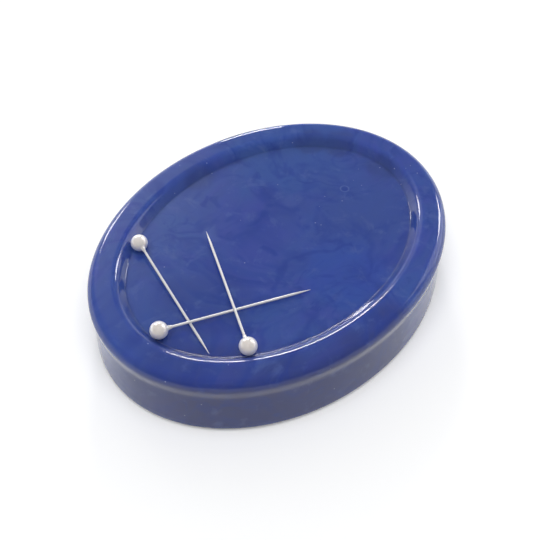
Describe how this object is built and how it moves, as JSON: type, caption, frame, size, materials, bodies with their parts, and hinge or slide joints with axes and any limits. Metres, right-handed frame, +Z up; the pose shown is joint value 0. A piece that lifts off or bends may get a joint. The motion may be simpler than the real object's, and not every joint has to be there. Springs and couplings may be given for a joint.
{
  "type": "magnetic pin bowl",
  "caption": "Low oval dish of marbled blue resin with magnets cast under its floor, holding loose pearl-headed dressmaking pins.",
  "frame": {"origin": "centre of the base pad's underside, the face that stands on the table", "axes": "+X along the oval's long axis, +Y towards its back, +Z up; the pins lie in the -X half and the front is -Y"},
  "size_m": [0.0988, 0.0772, 0.0197],
  "materials": {
    "marbled_resin": "cast polyester or epoxy resin, glossy, faintly marbled blue",
    "backing_resin": "the same resin, poured behind the magnets and sanded flat",
    "magnet_nickel": "nickel-plated sintered magnet",
    "pad_rubber": "thin self-adhesive non-slip sheet",
    "pin_steel": "bright nickel-plated steel wire",
    "pearl": "imitation pearl, soft lustre"
  },
  "bodies": {
    "bowl": {"bowl_casting": "marbled_resin", "back_pour": "backing_resin", "base_pad": "pad_rubber", "centre_magnet": "magnet_nickel", "right_magnet": "magnet_nickel", "rear_right_magnet": "magnet_nickel", "rear_left_magnet": "magnet_nickel", "left_magnet": "magnet_nickel", "front_left_magnet": "magnet_nickel", "front_right_magnet": "magnet_nickel"},
    "lower_pin": {"lower_pin_shaft": "pin_steel", "lower_pin_head": "pearl"},
    "middle_pin": {"middle_pin_shaft": "pin_steel", "middle_pin_head": "pearl"},
    "upper_pin": {"upper_pin_shaft": "pin_steel", "upper_pin_head": "pearl"}
  },
  "joints": [
    {"name": "lower_pin_lift", "type": "slide", "parent": "bowl", "child": "lower_pin", "axis": [0, 0, 1], "range_m": [0, 0.03]},
    {"name": "middle_pin_lift", "type": "slide", "parent": "lower_pin", "child": "middle_pin", "axis": [0, 0, 1], "range_m": [0, 0.03]},
    {"name": "upper_pin_lift", "type": "slide", "parent": "middle_pin", "child": "upper_pin", "axis": [0, 0, 1], "range_m": [0, 0.03]}
  ]
}
